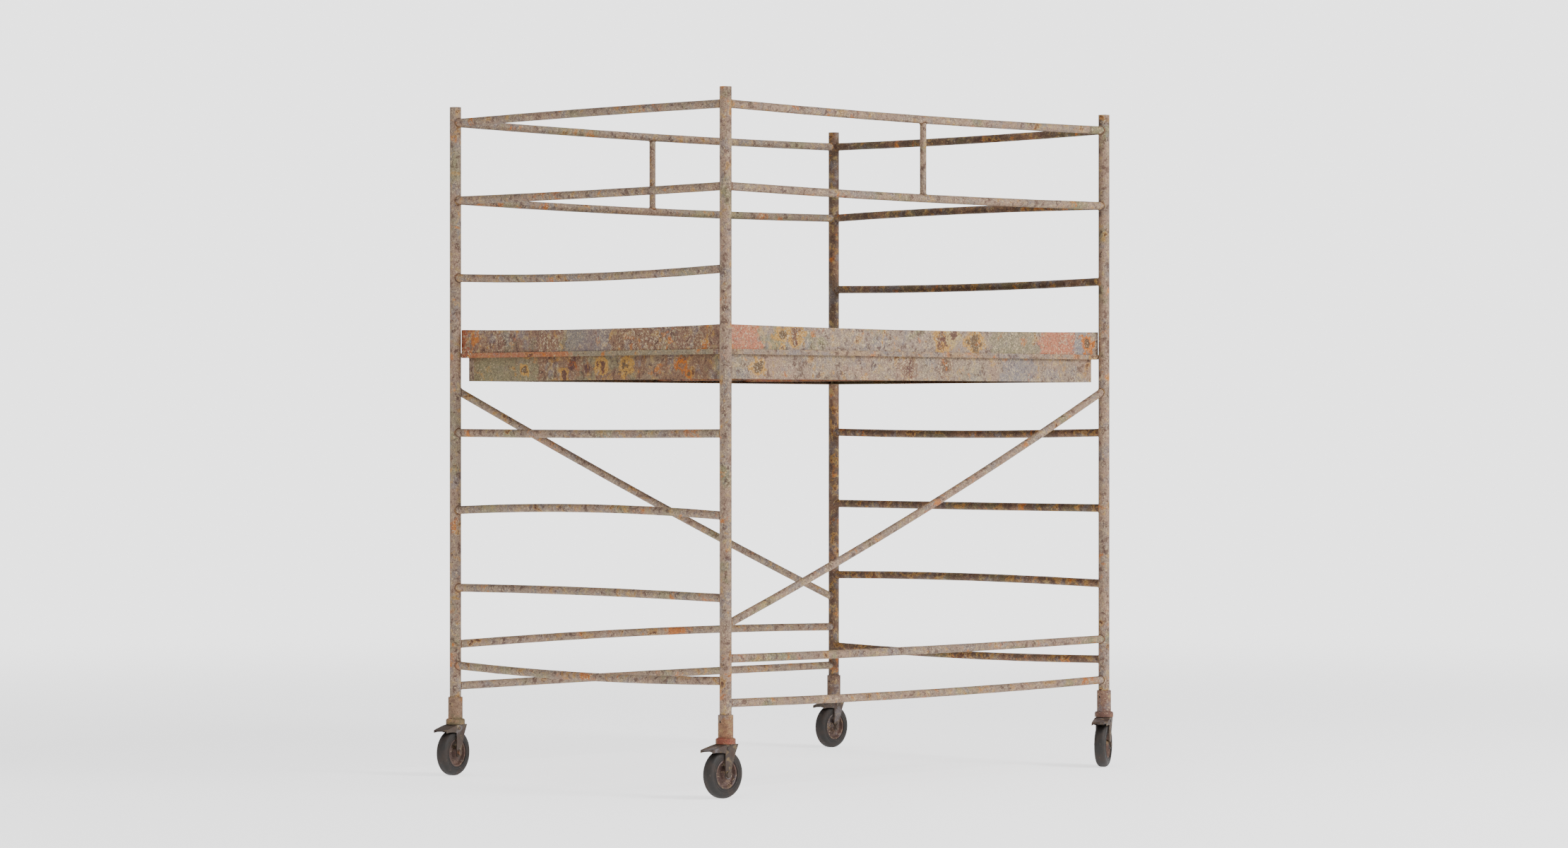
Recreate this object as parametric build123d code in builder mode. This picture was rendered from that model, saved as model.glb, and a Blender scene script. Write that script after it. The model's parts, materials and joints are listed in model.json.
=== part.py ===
"""Rolling baker scaffold: a welded tube cage of two ladder ends and two railed sides, a lift-off
steel platform hooked on studs at the fifth rung level, and four braked swivel casters.

Frame: millimetres, +Z up, the floor at Z = 0. X runs along the seven-foot bay and Y across the
five-foot width. Left is -X, right is +X, front is -Y and rear is +Y. The origin is on the floor at
the centre of the overall bounding box, so the bay's own centre stands a little off it, because all
four casters trail towards -X."""

from build123d import *
from math import cos, radians, sin
import os

# ---------------------------------------------------------------- driving dimensions
PITCH = 304.8  # rung pitch, one foot
BAY_LENGTH = 7 * PITCH  # post centre to post centre along X
BAY_WIDTH = 5 * PITCH  # post centre to post centre along Y
BAY_CENTRE = (15.4, 20.1)  # plan centre of the four posts

FIRST_RUNG = 433.0  # height of the lowest rung's axis
DECK_LEVEL = 4  # the platform takes the place of this rung
TOP_LEVEL = 7
POST_BOTTOM = 232.5
POST_TOP = 2629.0

POST_R = 22.5
POST_BORE_R = 19.5
SOCKET_BORE_R = 20.0  # reamed top of each post, where the next lift's coupling pin goes
SOCKET_DEPTH = 120.0
RAIL_R = 15.9  # rungs, guard rails and base rails
RAIL_WALL = 2.3
BRACE_R = 15.0
STRUT_R = 12.7
COPE_GAP = 0.1  # a tube's cut end stands this far off the tube it is welded to
STRAIGHT_END = 70.0  # how much of a bent tube stays straight at each end

BASE_RAIL_RISE = 82.0  # the base rails run this far above and below the first rung's level
BRACE_HIGH = FIRST_RUNG + 3.56 * PITCH
BRACE_LOW = FIRST_RUNG + 0.675 * PITCH

# How far years of use have bent each tube at mid-span, upwards positive.
LEFT_RUNG_BOWS = {0: -15.0, 1: 6.0, 2: 18.0, 3: -3.5, 5: -15.0, 6: -3.5, 7: 3.5}
RIGHT_RUNG_BOWS = {0: -11.0, 1: 9.0, 2: -1.0, 3: -8.0, 5: -8.5, 6: 8.0, 7: -6.0}
SIDE_BOWS = {
    "front": {"top": -8.5, "mid": -8.0, "base_upper": -6.5, "base_lower": -11.0, "brace": -27.0},
    "rear": {"top": -8.0, "mid": -9.0, "base_upper": 14.0, "base_lower": 3.5, "brace": -13.0},
}

# Platform. Heights are from the axis of the missing rung.
DECK_Z = FIRST_RUNG + DECK_LEVEL * PITCH
EDGE_TOP = 8.0
EDGE_BOTTOM = -10.5
EDGE_X = BAY_LENGTH / 2 - 13.0  # outer faces of the edge frame, just inside the post centres
EDGE_Y = BAY_WIDTH / 2 - 13.0
EDGE_SIDE_WIDTH = 48.0
EDGE_END_WIDTH = 68.0
EDGE_WALL = 2.5
SADDLE = 66.0  # side of the square corner saddle
SADDLE_GAP = 0.4  # between the saddle's notch and the post
TOE_TOP = 100.0
TOE_SAG = 8.0  # the boards' top edges have worn down at mid-span
TOE_DEPTH = 22.0
TOE_SETBACK = 4.0
BEAM_BOTTOM = -102.0
BEAM_X = BAY_LENGTH / 2 - 46.0
BEAM_Y = BAY_WIDTH / 2 - 28.0
BEAM_WIDTH = 30.0
SHEET = 2.5  # folded steel of the toe boards and beams
PLANKS = 6
PLANK_GAP = 2.0
PLANK_DEPTH = 42.0
PLANK_SHEET = 2.0
PLANK_RETURN = 12.0
JOIST_WIDTH = 40.0
JOIST_DEPTH = 60.0
JOISTS = (-510.0, 0.0, 510.0)
STUD_R = 5.0
STUD_Z = DECK_Z - 3.0
STUD_REACH = 24.0  # beyond the post's face, towards the bay's middle
STUD_GAP = 0.3
BOLT_R = 4.0
BOLT_HEAD_R = 6.4
BOLT_HEAD = 5.5

# Casters: radii about the stem's axis, heights from the floor.
WHEEL_R = 90.0
TYRE_WIDTH = 45.0
TYRE_BORE_R = 55.0
SHOULDER_R = 16.0  # rounding of the tyre's shoulders
TRAIL = 15.5  # the axle's offset from the swivel axis
SOCKET_R = 28.5
SOCKET_TOP = 307.5
COLLAR_R = 37.5
COLLAR_BOTTOM = 201.0
COLLAR_SHOULDER = 218.0
COLLAR_TOP = 222.0
COLLAR_BEVEL = 4.0
RACE_R = (23.0, 31.0)
RACE_RECESS = 6.0
RUNNING_GAP = 0.3  # between the faces of two pieces that move past each other
KINGPIN_R = 8.0
LOCK_PIN_R = 4.0
LOCK_PIN_Z = 282.0
FORK_TOP = 200.0
FORK_SHEET = 4.0
LEG_INNER = 24.7
LEG_SHEET = 4.2
LEG_OUTER = LEG_INNER + LEG_SHEET
EAR_INNER = LEG_OUTER + RUNNING_GAP
EAR_OUTER = 31.6
AXLE_R = 7.0
AXLE_FIT = 0.05
BUSH_R = 10.0
PEDAL_PIN = (17.0, 186.0)  # along the caster's trail, and height
PEDAL_PIN_R = 3.5

# Corner signs along X and Y, and the heading of each caster's trail in degrees.
CORNERS = {
    "front_left": (-1, -1, 181.2),
    "front_right": (1, -1, 209.8),
    "rear_left": (-1, 1, 193.2),
    "rear_right": (1, 1, 184.3),
}

BAY_X, BAY_Y = BAY_CENTRE
LOWEST = (Align.CENTER, Align.CENTER, Align.MIN)


def level(number):
    """Height of the axis of a rung, counted from the lowest."""
    return FIRST_RUNG + number * PITCH


def post_place(corner):
    """Plan position of a post's axis."""
    sx, sy, _ = CORNERS[corner]
    return BAY_X + sx * BAY_LENGTH / 2, BAY_Y + sy * BAY_WIDTH / 2


def write(part, name):
    """Labels one finished piece, or a group of like pieces, and saves it as its own node."""
    part.label = name
    export_step(part, f"parts/{name}.step")


# ---------------------------------------------------------------- tubes
def bent_tube(start, end, bow, radius):
    """A round tube that has bent by the vector bow at mid-length: straight at both ends, where the
    joints hold it, and one long arc between them."""
    first, last, lean = Vector(*start), Vector(*end), Vector(*bow)
    run = last - first
    slope = lean.length / (STRAIGHT_END + (run.length - 2 * STRAIGHT_END) / 4)
    along = run.normalized() * (STRAIGHT_END * cos(slope))
    rise = lean.normalized() * (STRAIGHT_END * sin(slope))
    with BuildPart() as tube:
        with BuildLine():
            Line(first, first + along + rise)
            TangentArc(first + along + rise, last - along + rise, tangent=along + rise)
            Line(last - along + rise, last)
        with BuildSketch(Plane(origin=first, z_dir=along + rise)):
            Circle(radius)
            Circle(radius - RAIL_WALL, mode=Mode.SUBTRACT)
        sweep()
    return tube.part


def welded_tube(corner_a, height_a, corner_b, height_b, bow, radius):
    """A bowed tube between two posts, its ends coped to the posts' faces."""
    place_a, place_b = post_place(corner_a), post_place(corner_b)
    bent = bent_tube((*place_a, height_a), (*place_b, height_b), bow, radius)
    with BuildPart() as tube:
        add(bent)
        with Locations(place_a, place_b):
            Cylinder(POST_R + COPE_GAP, POST_TOP, align=LOWEST, mode=Mode.SUBTRACT)
    return tube.part


def post(corner):
    """An upright: reamed at the top for a coupling pin, cross-drilled at the bottom for the lock pin."""
    x, y = post_place(corner)
    with BuildPart() as upright:
        with BuildSketch(Plane.XY.offset(POST_BOTTOM)):
            with Locations((x, y)):
                Circle(POST_R)
                Circle(POST_BORE_R, mode=Mode.SUBTRACT)
        extrude(amount=POST_TOP - POST_BOTTOM)
        with BuildSketch(Plane.XY.offset(POST_TOP)):
            with Locations((x, y)):
                Circle(SOCKET_BORE_R)
        extrude(amount=-SOCKET_DEPTH, mode=Mode.SUBTRACT)
        with Locations(Location((x, y, LOCK_PIN_Z), (0, 90, 45))):
            Cylinder(LOCK_PIN_R, 2 * SOCKET_R, mode=Mode.SUBTRACT)
    return upright.part


def rungs(side, bows):
    """One ladder end: all its rungs and its two guard rails, without the one at deck level."""
    tubes = [
        welded_tube(f"front_{side}", level(number), f"rear_{side}", level(number), (0, 0, bow), RAIL_R)
        for number, bow in bows.items()
    ]
    with BuildPart() as ladder:
        add(tubes)
    return ladder.part


def side_rail(side, height, bow):
    """A level tube along the bay."""
    return welded_tube(f"{side}_left", height, f"{side}_right", height, (0, 0, bow), RAIL_R)


def strut(side):
    """The short post between the middles of a side's guard rails, coped to both."""
    bows = SIDE_BOWS[side]
    y = post_place(f"{side}_left")[1]
    low, high = level(TOP_LEVEL - 1) + bows["mid"], level(TOP_LEVEL) + bows["top"]
    with BuildPart() as upright:
        with BuildSketch(Plane.XY.offset(low)):
            with Locations((BAY_X, y)):
                Circle(STRUT_R)
                Circle(STRUT_R - RAIL_WALL, mode=Mode.SUBTRACT)
        extrude(amount=high - low)
        for height in (low, high):
            with Locations(Location((BAY_X, y, height), (0, 90, 0))):
                Cylinder(RAIL_R + COPE_GAP, 4 * RAIL_R, mode=Mode.SUBTRACT)
    return upright.part


def brace(side):
    """The long diagonal of a side, sagging at right angles to its own line."""
    rising = side == "front"
    start, end = (BRACE_LOW, BRACE_HIGH) if rising else (BRACE_HIGH, BRACE_LOW)
    across = Vector(start - end, 0, BAY_LENGTH).normalized() * SIDE_BOWS[side]["brace"]
    return welded_tube(f"{side}_left", start, f"{side}_right", end, tuple(across), BRACE_R)


def deck_studs():
    """Four studs welded to the posts, pointing at the bay's middle, that carry the platform."""
    with BuildPart() as studs:
        for corner, (sx, sy, _) in CORNERS.items():
            x, y = post_place(corner)
            inward = Vector(-sx, -sy, 0).normalized()
            foot = Vector(x, y, STUD_Z) + inward * (POST_R - 1)
            with BuildSketch(Plane(origin=foot, z_dir=inward)):
                Circle(STUD_R)
            extrude(amount=STUD_REACH + 1)
        with Locations(*[post_place(corner) for corner in CORNERS]):
            Cylinder(POST_R, POST_TOP, align=LOWEST, mode=Mode.SUBTRACT)
    return studs.part


# ---------------------------------------------------------------- platform
def edge_bar(length, width, centre, turn):
    """One hollow bar of the platform's edge frame, open at both ends."""
    with BuildPart() as bar:
        middle = DECK_Z + (EDGE_TOP + EDGE_BOTTOM) / 2
        depth = EDGE_TOP - EDGE_BOTTOM
        with Locations(Location((*centre, middle), (0, 0, turn))):
            Box(length, width, depth)
            Box(length, width - 2 * EDGE_WALL, depth - 2 * EDGE_WALL, mode=Mode.SUBTRACT)
    return bar.part


def bolt_places():
    """Plan positions of the bolts that hold the toe boards' lower flanges to the edge frame."""
    side_y = EDGE_Y - TOE_SETBACK - TOE_DEPTH / 2
    end_x = EDGE_X - TOE_SETBACK - TOE_DEPTH / 2
    sides = [(x, s * side_y) for s in (-1, 1) for x in (-900.0, -450.0, 0.0, 450.0, 900.0)]
    ends = [(s * end_x, y) for s in (-1, 1) for y in (-600.0, -200.0, 200.0, 600.0)]
    return [(BAY_X + x, BAY_Y + y) for x, y in sides + ends]


def edge_frame(pairs):
    """Two facing bars of the edge frame, drilled for the toe boards' bolts."""
    hollow_bars = [edge_bar(*pair) for pair in pairs]
    with BuildPart() as bars:
        add(hollow_bars)
        with Locations(*[(x, y, DECK_Z + EDGE_TOP) for x, y in bolt_places()]):
            Cylinder(BOLT_R, 4 * EDGE_WALL, mode=Mode.SUBTRACT)
    return bars.part


def corner_saddles():
    """Corner blocks notched round the posts, each with a slot underneath that drops over its stud."""
    with BuildPart() as saddles:
        for corner, (sx, sy, _) in CORNERS.items():
            x, y = post_place(corner)
            outer = Vector(BAY_X + sx * EDGE_X, BAY_Y + sy * EDGE_Y)
            with BuildSketch(Plane.XY.offset(DECK_Z + EDGE_BOTTOM)):
                with Locations((outer.X - sx * SADDLE / 2, outer.Y - sy * SADDLE / 2)):
                    Rectangle(SADDLE, SADDLE)
                with Locations((x, y)):
                    Circle(POST_R + SADDLE_GAP, mode=Mode.SUBTRACT)
            extrude(amount=EDGE_TOP - EDGE_BOTTOM)
        for corner, (sx, sy, _) in CORNERS.items():
            inward = Vector(-sx, -sy, 0).normalized()
            seat = Vector(*post_place(corner), STUD_Z)
            slot_r = STUD_R + STUD_GAP
            slot_plane = Plane(origin=seat, x_dir=Vector(0, 0, 1), z_dir=inward)
            with BuildSketch(slot_plane):
                Circle(slot_r)
                with Locations((-2 * slot_r, 0)):
                    Rectangle(4 * slot_r, 2 * slot_r)
            extrude(amount=POST_R + STUD_REACH + STUD_GAP, mode=Mode.SUBTRACT)
    return saddles.part


def folded_tray(plane, half_length, bottom, top, sag, depth):
    """A folded steel board: a web with flanges on all four edges, its long top edge sagging.
    The plane's origin is on the outer face at mid-length, and the tray is folded along its normal."""
    with BuildPart() as tray:
        with BuildSketch(plane):
            with BuildLine():
                Line((-half_length, top), (-half_length, bottom))
                Line((-half_length, bottom), (half_length, bottom))
                Line((half_length, bottom), (half_length, top))
                ThreePointArc((-half_length, top), (0, top - sag), (half_length, top))
            make_face()
        extrude(amount=depth)
        inner = half_length - SHEET
        with BuildSketch(plane.offset(SHEET)):
            with BuildLine():
                low, high = bottom + SHEET, top - SHEET
                Polyline((-inner, high), (-inner, low), (inner, low), (inner, high))
                ThreePointArc((-inner, high), (0, high - sag), (inner, high))
            make_face()
        extrude(amount=depth, mode=Mode.SUBTRACT)
    return tray.part


def side_plane(side, setback_x, setback_y):
    """Plane on one side of the platform: X along the side, Y up from the deck level, Z inwards."""
    reach = {
        "front": (0, -setback_y),
        "rear": (0, setback_y),
        "left": (-setback_x, 0),
        "right": (setback_x, 0),
    }[side]
    inward = {"front": (0, 1, 0), "rear": (0, -1, 0), "left": (1, 0, 0), "right": (-1, 0, 0)}[side]
    origin = (BAY_X + reach[0], BAY_Y + reach[1], DECK_Z)
    return Plane(origin=origin, x_dir=Vector(0, 0, 1).cross(Vector(*inward)), z_dir=inward)


def toe_board(side):
    """A toe board standing on the edge frame, bolted down through its lower flange."""
    long_side = side in ("front", "rear")
    half = EDGE_X - TOE_SETBACK if long_side else EDGE_Y - TOE_SETBACK - TOE_DEPTH - STUD_GAP
    plane = side_plane(side, EDGE_X - TOE_SETBACK, EDGE_Y - TOE_SETBACK)
    tray = folded_tray(plane, half, EDGE_TOP, TOE_TOP, TOE_SAG, TOE_DEPTH)
    with BuildPart() as board:
        add(tray)
        with Locations(*[(x, y, DECK_Z + EDGE_TOP) for x, y in bolt_places()]):
            Cylinder(BOLT_R, 4 * SHEET, mode=Mode.SUBTRACT)
    return board.part


def deck_beam(side):
    """A beam under the edge frame; the end beams fit between the side beams."""
    long_side = side in ("front", "rear")
    half = BEAM_X if long_side else BEAM_Y - BEAM_WIDTH
    plane = side_plane(side, BEAM_X, BEAM_Y)
    with BuildPart() as beam:
        with BuildSketch(plane):
            with Locations((0, (BEAM_BOTTOM + EDGE_BOTTOM) / 2)):
                Rectangle(2 * half, EDGE_BOTTOM - BEAM_BOTTOM)
        extrude(amount=BEAM_WIDTH)
        with BuildSketch(plane.offset(SHEET)):
            with Locations((0, (BEAM_BOTTOM + EDGE_BOTTOM) / 2)):
                Rectangle(2 * (half - SHEET), EDGE_BOTTOM - BEAM_BOTTOM - 2 * SHEET)
        extrude(amount=BEAM_WIDTH, mode=Mode.SUBTRACT)
    return beam.part


def joists():
    """Box joists across the platform, their ends inside the side beams."""
    top = DECK_Z + EDGE_TOP - PLANK_DEPTH
    with BuildPart() as bars:
        with Locations(*[(BAY_X + x, BAY_Y, top - JOIST_DEPTH / 2) for x in JOISTS]):
            Box(JOIST_WIDTH, 2 * (BEAM_Y - SHEET), JOIST_DEPTH)
            inner = (JOIST_WIDTH - 2 * SHEET, JOIST_DEPTH - 2 * SHEET)
            Box(inner[0], 2 * BEAM_Y, inner[1], mode=Mode.SUBTRACT)
    return bars.part


def planks():
    """Folded steel planks, flush with the edge frame, with returned lower edges."""
    length = 2 * (EDGE_X - EDGE_END_WIDTH) - PLANK_GAP
    span = 2 * (EDGE_Y - EDGE_SIDE_WIDTH) - PLANK_GAP
    pitch = span / PLANKS
    width = pitch - PLANK_GAP
    end = Plane(origin=(BAY_X - length / 2, BAY_Y, DECK_Z + EDGE_TOP), x_dir=(0, 1, 0), z_dir=(1, 0, 0))
    with BuildPart() as boards:
        with BuildSketch(end):
            with GridLocations(pitch, 0, PLANKS, 1):
                with Locations((0, -PLANK_DEPTH / 2)):
                    Rectangle(width, PLANK_DEPTH)
                    Rectangle(width - 2 * PLANK_SHEET, PLANK_DEPTH - 2 * PLANK_SHEET, mode=Mode.SUBTRACT)
                with Locations((0, -PLANK_DEPTH)):
                    Rectangle(width - 2 * PLANK_RETURN, 3 * PLANK_SHEET, mode=Mode.SUBTRACT)
        extrude(amount=length)
    return boards.part


def toe_board_bolts():
    """Hexagon bolts down through the toe boards' lower flanges into the edge frame."""
    seat = DECK_Z + EDGE_TOP + SHEET
    with BuildPart() as bolts:
        with BuildSketch(Plane.XY.offset(seat)):
            with Locations(*bolt_places()):
                RegularPolygon(BOLT_HEAD_R, 6)
        extrude(amount=BOLT_HEAD)
        with BuildSketch(Plane.XY.offset(seat)):
            with Locations(*bolt_places()):
                Circle(BOLT_R - AXLE_FIT)
        extrude(amount=-(SHEET + 3 * EDGE_WALL))
    return bolts.part


# ---------------------------------------------------------------- casters
def caster_planes(corner):
    """Plan plane of a caster, X along its trail, and its side plane, X along the trail and Y up."""
    heading = radians(CORNERS[corner][2])
    along = Vector(cos(heading), sin(heading), 0)
    origin = Vector(*post_place(corner), 0)
    plan = Plane(origin=origin, x_dir=along, z_dir=(0, 0, 1))
    return plan, Plane(origin=origin, x_dir=along, z_dir=plan.y_dir * -1)


def caster_socket(corner):
    """The turned socket that takes the post's foot, with the swivel collar at its lower end."""
    x, y = post_place(corner)
    with BuildPart() as socket:
        with BuildSketch(Plane(origin=(x, y, 0), x_dir=(1, 0, 0), z_dir=(0, -1, 0))):
            with BuildLine():
                Polyline(
                    (KINGPIN_R, COLLAR_BOTTOM),
                    (RACE_R[0] - 1, COLLAR_BOTTOM),
                    (RACE_R[0] - 1, COLLAR_BOTTOM + RACE_RECESS),
                    (RACE_R[1] + 1, COLLAR_BOTTOM + RACE_RECESS),
                    (RACE_R[1] + 1, COLLAR_BOTTOM),
                    (COLLAR_R, COLLAR_BOTTOM),
                    (COLLAR_R, COLLAR_SHOULDER),
                    (COLLAR_R - COLLAR_BEVEL, COLLAR_TOP),
                    (SOCKET_R, COLLAR_TOP),
                    (SOCKET_R, SOCKET_TOP),
                    (POST_R + AXLE_FIT, SOCKET_TOP),
                    (POST_R + AXLE_FIT, POST_BOTTOM),
                    (KINGPIN_R, POST_BOTTOM),
                    close=True,
                )
            make_face()
        revolve(axis=Axis((x, y, 0), (0, 0, 1)))
        with Locations(Location((x, y, LOCK_PIN_Z), (0, 90, 45))):
            Cylinder(LOCK_PIN_R, 2 * COLLAR_R, mode=Mode.SUBTRACT)
    return socket.part


def lock_pins():
    """A roll pin through each socket and its post, flush with the socket."""
    with BuildPart() as pins:
        for corner in CORNERS:
            with Locations(Location((*post_place(corner), LOCK_PIN_Z), (0, 90, 45))):
                Cylinder(LOCK_PIN_R - AXLE_FIT, 2 * SOCKET_R - 1)
                Cylinder(LOCK_PIN_R - 1.5, 2 * SOCKET_R, mode=Mode.SUBTRACT)
    return pins.part


def kingpins():
    """The headed pins that the forks swivel on, fast in the sockets."""
    head_top = FORK_TOP - FORK_SHEET - 0.5
    with BuildPart() as pins:
        places = [post_place(corner) for corner in CORNERS]
        with Locations(*[(x, y, head_top - 8) for x, y in places]):
            Cylinder(KINGPIN_R, POST_BOTTOM + 8 - head_top, align=LOWEST)
            Cylinder(KINGPIN_R + 5, 8, align=LOWEST)
            heads = faces().filter_by(Axis.Z).group_by(Axis.Z)[0]
        chamfer(heads.edges(), 2)
    return pins.part


def swivel_races():
    """The ball race rings between the collars and the forks."""
    with BuildPart() as rings:
        with BuildSketch(Plane.XY.offset(FORK_TOP + RUNNING_GAP)):
            with Locations(*[post_place(corner) for corner in CORNERS]):
                Circle(RACE_R[1])
                Circle(RACE_R[0], mode=Mode.SUBTRACT)
        extrude(amount=COLLAR_BOTTOM + RACE_RECESS - FORK_TOP - RUNNING_GAP)
    return rings.part


def caster_fork(corner):
    """The pressed fork: a top plate on two legs that narrow to the axle."""
    plan, side = caster_planes(corner)
    end_r, front, back = 16.0, 29.0, -39.0
    with BuildPart() as fork:
        with BuildSketch(side):
            with BuildLine():
                Polyline(
                    (TRAIL - end_r, WHEEL_R),
                    (TRAIL - end_r, WHEEL_R + 12),
                    (back + 18, FORK_TOP - 38),
                    (back, FORK_TOP),
                    (front, FORK_TOP),
                    (front, WHEEL_R),
                )
                ThreePointArc((front, WHEEL_R), (TRAIL, WHEEL_R - 18), (TRAIL - end_r, WHEEL_R))
            make_face()
        extrude(amount=LEG_OUTER, both=True)
        with BuildSketch(side):
            with Locations((0, (FORK_TOP - FORK_SHEET) / 2)):
                Rectangle(4 * WHEEL_R, FORK_TOP - FORK_SHEET)
        extrude(amount=LEG_INNER, both=True, mode=Mode.SUBTRACT)
        with BuildSketch(side):
            with Locations((TRAIL, WHEEL_R)):
                Circle(AXLE_R)
            with Locations(PEDAL_PIN):
                Circle(PEDAL_PIN_R)
        extrude(amount=2 * LEG_OUTER, both=True, mode=Mode.SUBTRACT)
        with BuildSketch(plan.offset(FORK_TOP)):
            Circle(KINGPIN_R + 2 * AXLE_FIT)
        extrude(amount=-2 * FORK_SHEET, mode=Mode.SUBTRACT)
        with BuildSketch(side):
            with Locations((front, FORK_TOP)):
                Rectangle(8, 2 * (FORK_SHEET + 2))
        extrude(amount=LEG_INNER, both=True, mode=Mode.SUBTRACT)
    return fork.part


def caster_hardware(corner):
    """Axle bolt, its nut and washers, and the pedal's pivot pin."""
    _, side = caster_planes(corner)
    head, washer, nut = 5.5, 1.0, 5.5
    outer = LEG_OUTER + washer
    with BuildPart() as hardware:
        with BuildSketch(side.offset(-outer)):
            with Locations((TRAIL, WHEEL_R)):
                Circle(AXLE_R)
        extrude(amount=2 * outer + nut + 1)
        with BuildSketch(side.offset(-outer)):
            with Locations((TRAIL, WHEEL_R)):
                RegularPolygon(11.5, 6, major_radius=True)
        extrude(amount=-head)
        with BuildSketch(side.offset(outer)):
            with Locations((TRAIL, WHEEL_R)):
                RegularPolygon(11.5, 6, major_radius=True)
        extrude(amount=nut)
        for start in (-outer, LEG_OUTER):
            with BuildSketch(side.offset(start)):
                with Locations((TRAIL, WHEEL_R)):
                    Circle(14)
            extrude(amount=washer)
        with BuildSketch(side):
            with Locations(PEDAL_PIN):
                Circle(PEDAL_PIN_R)
        extrude(amount=EAR_OUTER + 2.5, both=True)
        for start in (-EAR_OUTER - 2.5, EAR_OUTER + RUNNING_GAP):
            with BuildSketch(side.offset(start)):
                with Locations(PEDAL_PIN):
                    Circle(PEDAL_PIN_R + 2.5)
            extrude(amount=2.2)
    return hardware.part


def brake_pedal(corner):
    """The pressed brake pedal: a sloping channel hinged outside the fork's legs, with its shoe."""
    _, side = caster_planes(corner)
    crest = [(28.0, 199.0), (41.0, 196.5), (75.0, 188.5), (98.0, 182.5)]
    tip, tip_top, sole = 101.0, 180.0, 170.0
    with BuildPart() as pedal:
        with BuildSketch(side):
            with BuildLine():
                Polyline(
                    (tip, tip_top), (tip, sole + 1), (80, sole + 3), (51, sole + 2), (31, sole - 2),
                    (13, 174), (5, 181), (5, 193), (13, 198), *crest, (tip, tip_top),
                )
            make_face()
        extrude(amount=EAR_OUTER, both=True)
        with BuildSketch(side):
            with BuildLine():
                Polyline(
                    (tip + 5, sole - 10), (tip + 5, tip_top - 4), (tip - 4, tip_top), (75, 186), (41, 194),
                    (29.5, 196), (29.5, FORK_TOP + 5), (-9, FORK_TOP + 5), (-9, sole - 10), close=True,
                )
            make_face()
        extrude(amount=EAR_INNER, both=True, mode=Mode.SUBTRACT)
        with BuildSketch(side):
            with Locations(PEDAL_PIN):
                Circle(PEDAL_PIN_R + 2 * AXLE_FIT)
        extrude(amount=2 * EAR_OUTER, both=True, mode=Mode.SUBTRACT)
        with BuildSketch(side):
            with BuildLine():
                Polyline((49.5, 193.2), (63.5, 190), (63.5, 171.4), (49.5, 178.2), close=True)
            make_face()
        extrude(amount=14, both=True)
    return pedal.part


def revolved_on_axle(corner, outline):
    """Turns an outline of (across, radius) points about the caster's axle."""
    plan, side = caster_planes(corner)
    hub = plan.origin + plan.x_dir * TRAIL + Vector(0, 0, WHEEL_R)
    with BuildPart() as turned:
        with BuildSketch(Plane(origin=hub, x_dir=side.z_dir, z_dir=plan.x_dir)):
            with BuildLine():
                Polyline(*outline, close=True)
            make_face()
        revolve(axis=Axis(hub, side.z_dir))
    return turned.part


def tyre(corner):
    """A solid rubber tyre with a rounded tread."""
    half = TYRE_WIDTH / 2
    plan, side = caster_planes(corner)
    hub = plan.origin + plan.x_dir * TRAIL + Vector(0, 0, WHEEL_R)
    with BuildPart() as ring:
        with BuildSketch(Plane(origin=hub, x_dir=side.z_dir, z_dir=plan.x_dir)):
            with BuildLine():
                shoulder = WHEEL_R - SHOULDER_R
                across = half - SHOULDER_R
                reach = SHOULDER_R * cos(radians(45))
                Line((-half, shoulder), (1 - half, TYRE_BORE_R))
                Line((1 - half, TYRE_BORE_R), (half - 1, TYRE_BORE_R))
                Line((half - 1, TYRE_BORE_R), (half, shoulder))
                ThreePointArc((half, shoulder), (across + reach, shoulder + reach), (across, WHEEL_R))
                Line((across, WHEEL_R), (-across, WHEEL_R))
                ThreePointArc((-across, WHEEL_R), (-across - reach, shoulder + reach), (-half, shoulder))
            make_face()
        revolve(axis=Axis(hub, side.z_dir))
    return ring.part


def wheel_rim(corner):
    """The cast wheel centre, dished on both faces, with a plain bush pressed in its hub."""
    rim_half, web_half, boss_half = 19.0, 4.0, 24.0
    rim = [
        (-rim_half, TYRE_BORE_R), (-rim_half, TYRE_BORE_R - 6), (-web_half - 3, TYRE_BORE_R - 10),
        (-web_half, 30), (-web_half - 4, 22), (-boss_half, 17), (-boss_half, BUSH_R),
    ]
    bush = [
        (-boss_half, BUSH_R), (-boss_half, AXLE_R + AXLE_FIT),
        (boss_half, AXLE_R + AXLE_FIT), (boss_half, BUSH_R),
    ]
    return Compound(children=[
        *revolved_on_axle(corner, rim + [(-across, radius) for across, radius in reversed(rim)]).solids(),
        *revolved_on_axle(corner, bush).solids(),
    ])


# ---------------------------------------------------------------- the nodes
os.makedirs("parts", exist_ok=True)

for corner in CORNERS:
    write(post(corner), f"post_{corner}")
write(rungs("left", LEFT_RUNG_BOWS), "left_end_rungs")
write(rungs("right", RIGHT_RUNG_BOWS), "right_end_rungs")
for side in ("front", "rear"):
    bows = SIDE_BOWS[side]
    write(side_rail(side, level(TOP_LEVEL), bows["top"]), f"{side}_top_rail")
    write(side_rail(side, level(TOP_LEVEL - 1), bows["mid"]), f"{side}_mid_rail")
    write(side_rail(side, FIRST_RUNG + BASE_RAIL_RISE, bows["base_upper"]), f"{side}_base_rail_upper")
    write(side_rail(side, FIRST_RUNG - BASE_RAIL_RISE, bows["base_lower"]), f"{side}_base_rail_lower")
    write(strut(side), f"{side}_rail_strut")
    write(brace(side), f"{side}_brace")
write(deck_studs(), "deck_studs")

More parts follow.
